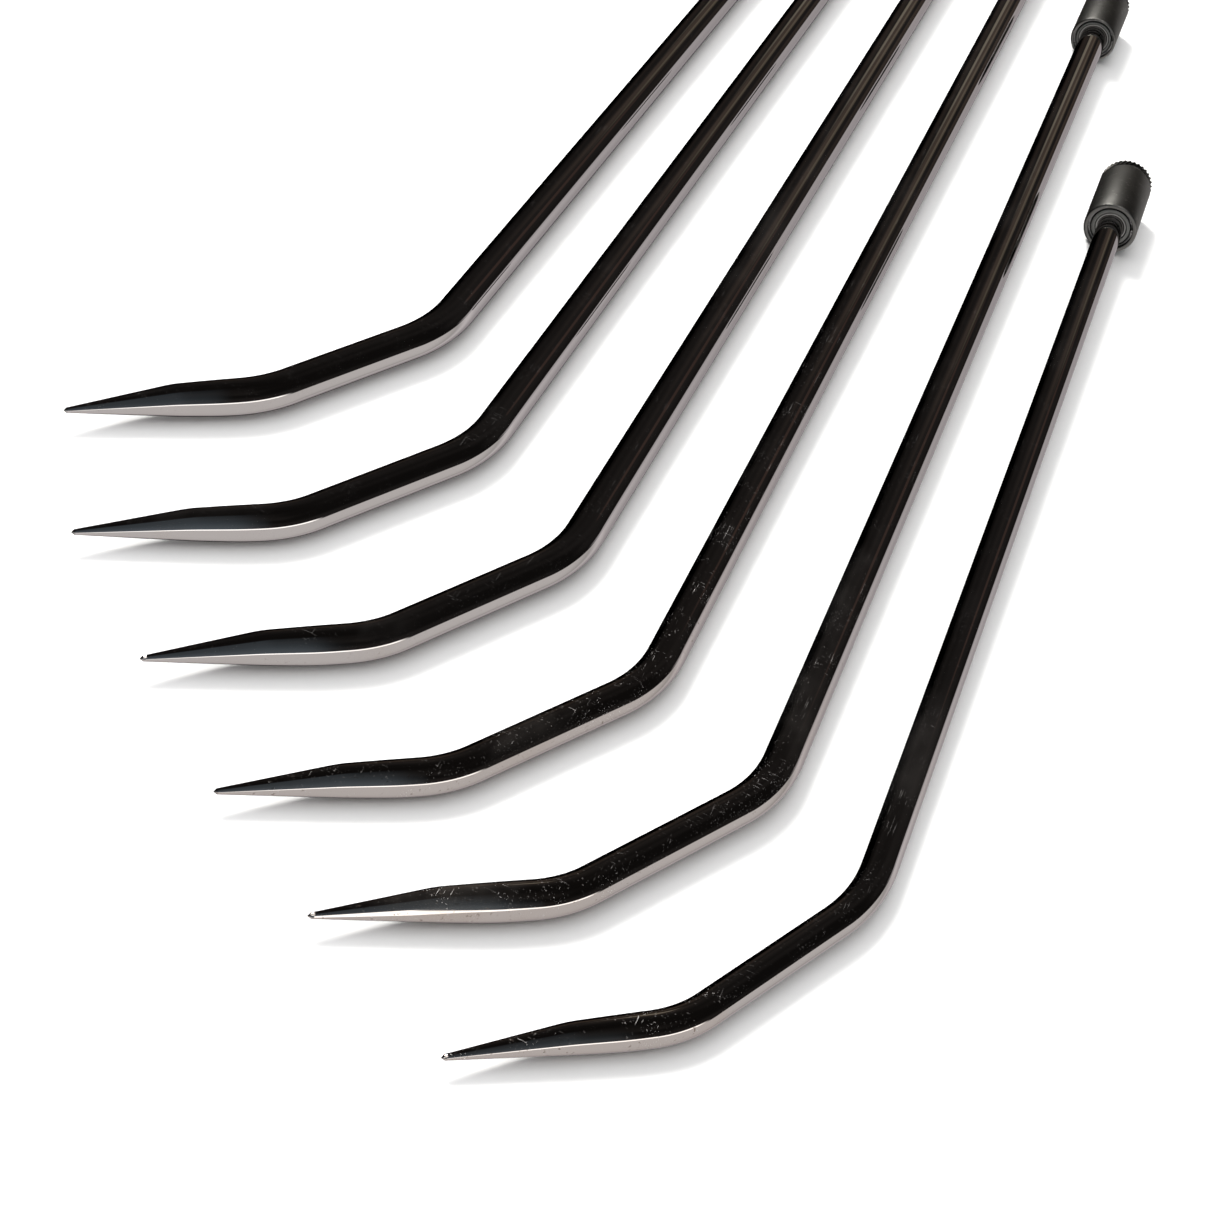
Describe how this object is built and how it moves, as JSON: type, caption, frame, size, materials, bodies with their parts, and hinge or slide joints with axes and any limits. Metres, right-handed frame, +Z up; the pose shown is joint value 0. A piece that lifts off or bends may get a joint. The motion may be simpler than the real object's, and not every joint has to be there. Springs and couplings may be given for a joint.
{
  "type": "bent prying rod set",
  "caption": "Set of bent, polished steel dent-lifting rods with ground points and spring-loaded quick-change coupling heads.",
  "frame": {"origin": "middle of the footprint of the whole set, on the surface that it lies on", "axes": "+Y along the stems towards the coupling heads, +Z up, +X to the right when looking along +Y"},
  "size_m": [0.189, 0.9616, 0.0148],
  "materials": {
    "mirror_polished_steel": "mirror polished",
    "gun_metal_steel": "satin gun metal",
    "blackened_steel": "black oxide",
    "phosphated_steel": "matte phosphate",
    "spring_steel": "oiled spring steel",
    "ball_steel": "polished bearing steel"
  },
  "bodies": {
    "tool_1": {"tool_1_rod": "mirror_polished_steel", "tool_1_hub": "blackened_steel", "tool_1_spring": "spring_steel"},
    "sleeve_1": {"tool_1_sleeve": "gun_metal_steel", "tool_1_front_plate": "phosphated_steel", "tool_1_circlip": "spring_steel", "tool_1_guide_screw": "blackened_steel"},
    "ball_1": {"tool_1_lock_ball": "ball_steel"},
    "tool_2": {"tool_2_rod": "mirror_polished_steel", "tool_2_hub": "blackened_steel", "tool_2_spring": "spring_steel"},
    "sleeve_2": {"tool_2_sleeve": "gun_metal_steel", "tool_2_front_plate": "phosphated_steel", "tool_2_circlip": "spring_steel", "tool_2_guide_screw": "blackened_steel"},
    "ball_2": {"tool_2_lock_ball": "ball_steel"},
    "tool_3": {"tool_3_rod": "mirror_polished_steel", "tool_3_hub": "blackened_steel", "tool_3_spring": "spring_steel"},
    "sleeve_3": {"tool_3_sleeve": "gun_metal_steel", "tool_3_front_plate": "phosphated_steel", "tool_3_circlip": "spring_steel", "tool_3_guide_screw": "blackened_steel"},
    "ball_3": {"tool_3_lock_ball": "ball_steel"},
    "tool_4": {"tool_4_rod": "mirror_polished_steel", "tool_4_hub": "blackened_steel", "tool_4_spring": "spring_steel"},
    "sleeve_4": {"tool_4_sleeve": "gun_metal_steel", "tool_4_front_plate": "phosphated_steel", "tool_4_circlip": "spring_steel", "tool_4_guide_screw": "blackened_steel"},
    "ball_4": {"tool_4_lock_ball": "ball_steel"},
    "tool_5": {"tool_5_rod": "mirror_polished_steel", "tool_5_hub": "blackened_steel", "tool_5_spring": "spring_steel"},
    "sleeve_5": {"tool_5_sleeve": "gun_metal_steel", "tool_5_front_plate": "phosphated_steel", "tool_5_circlip": "spring_steel", "tool_5_guide_screw": "blackened_steel"},
    "ball_5": {"tool_5_lock_ball": "ball_steel"},
    "tool_6": {"tool_6_rod": "mirror_polished_steel", "tool_6_hub": "blackened_steel", "tool_6_spring": "spring_steel"},
    "sleeve_6": {"tool_6_sleeve": "gun_metal_steel", "tool_6_front_plate": "phosphated_steel", "tool_6_circlip": "spring_steel", "tool_6_guide_screw": "blackened_steel"},
    "ball_6": {"tool_6_lock_ball": "ball_steel"}
  },
  "joints": [
    {"name": "sleeve_1_pull", "type": "slide", "parent": "tool_1", "child": "sleeve_1", "axis": [0.0175, 0.9998, 0.004], "range_m": [0, 0.0035], "stiffness_N_per_m": 400, "springref_m": -0.008, "deforming": ["tool_1_spring"]},
    {"name": "lock_ball_1_release", "type": "slide", "parent": "tool_1", "child": "ball_1", "axis": [-0.0001, -0.004, 1], "range_m": [0, 0.0007]},
    {"name": "tool_2_lift", "type": "slide", "parent": "tool_1", "child": "tool_2", "axis": [0, 0, 1], "range_m": [0, 0.15]},
    {"name": "sleeve_2_pull", "type": "slide", "parent": "tool_2", "child": "sleeve_2", "axis": [0.0105, 0.9999, 0.0049], "range_m": [0, 0.0035], "stiffness_N_per_m": 400, "springref_m": -0.008, "deforming": ["tool_2_spring"]},
    {"name": "lock_ball_2_release", "type": "slide", "parent": "tool_2", "child": "ball_2", "axis": [-0.0001, -0.0049, 1], "range_m": [0, 0.0007]},
    {"name": "tool_3_lift", "type": "slide", "parent": "tool_1", "child": "tool_3", "axis": [0, 0, 1], "range_m": [0, 0.15]},
    {"name": "sleeve_3_pull", "type": "slide", "parent": "tool_3", "child": "sleeve_3", "axis": [0, 1, 0.0054], "range_m": [0, 0.0035], "stiffness_N_per_m": 400, "springref_m": -0.008, "deforming": ["tool_3_spring"]},
    {"name": "lock_ball_3_release", "type": "slide", "parent": "tool_3", "child": "ball_3", "axis": [0, -0.0054, 1], "range_m": [0, 0.0007]},
    {"name": "tool_4_lift", "type": "slide", "parent": "tool_1", "child": "tool_4", "axis": [0, 0, 1], "range_m": [0, 0.15]},
    {"name": "sleeve_4_pull", "type": "slide", "parent": "tool_4", "child": "sleeve_4", "axis": [-0.0052, 1, 0.0071], "range_m": [0, 0.0035], "stiffness_N_per_m": 400, "springref_m": -0.008, "deforming": ["tool_4_spring"]},
    {"name": "lock_ball_4_release", "type": "slide", "parent": "tool_4", "child": "ball_4", "axis": [0, -0.0071, 1], "range_m": [0, 0.0007]},
    {"name": "tool_5_lift", "type": "slide", "parent": "tool_1", "child": "tool_5", "axis": [0, 0, 1], "range_m": [0, 0.15]},
    {"name": "sleeve_5_pull", "type": "slide", "parent": "tool_5", "child": "sleeve_5", "axis": [-0.0122, 0.9999, 0.0077], "range_m": [0, 0.0035], "stiffness_N_per_m": 400, "springref_m": -0.008, "deforming": ["tool_5_spring"]},
    {"name": "lock_ball_5_release", "type": "slide", "parent": "tool_5", "child": "ball_5", "axis": [0.0001, -0.0077, 1], "range_m": [0, 0.0007]},
    {"name": "tool_6_lift", "type": "slide", "parent": "tool_1", "child": "tool_6", "axis": [0, 0, 1], "range_m": [0, 0.15]},
    {"name": "sleeve_6_pull", "type": "slide", "parent": "tool_6", "child": "sleeve_6", "axis": [-0.0143, 0.9998, 0.0131], "range_m": [0, 0.0035], "stiffness_N_per_m": 400, "springref_m": -0.008, "deforming": ["tool_6_spring"]},
    {"name": "lock_ball_6_release", "type": "slide", "parent": "tool_6", "child": "ball_6", "axis": [0.0002, -0.0131, 0.9999], "range_m": [0, 0.0007]}
  ],
  "couplings": [
    {"joint": "lock_ball_1_release", "follows": "sleeve_1_pull", "ratio": 0.2},
    {"joint": "lock_ball_2_release", "follows": "sleeve_2_pull", "ratio": 0.2},
    {"joint": "lock_ball_3_release", "follows": "sleeve_3_pull", "ratio": 0.2},
    {"joint": "lock_ball_4_release", "follows": "sleeve_4_pull", "ratio": 0.2},
    {"joint": "lock_ball_5_release", "follows": "sleeve_5_pull", "ratio": 0.2},
    {"joint": "lock_ball_6_release", "follows": "sleeve_6_pull", "ratio": 0.2}
  ]
}
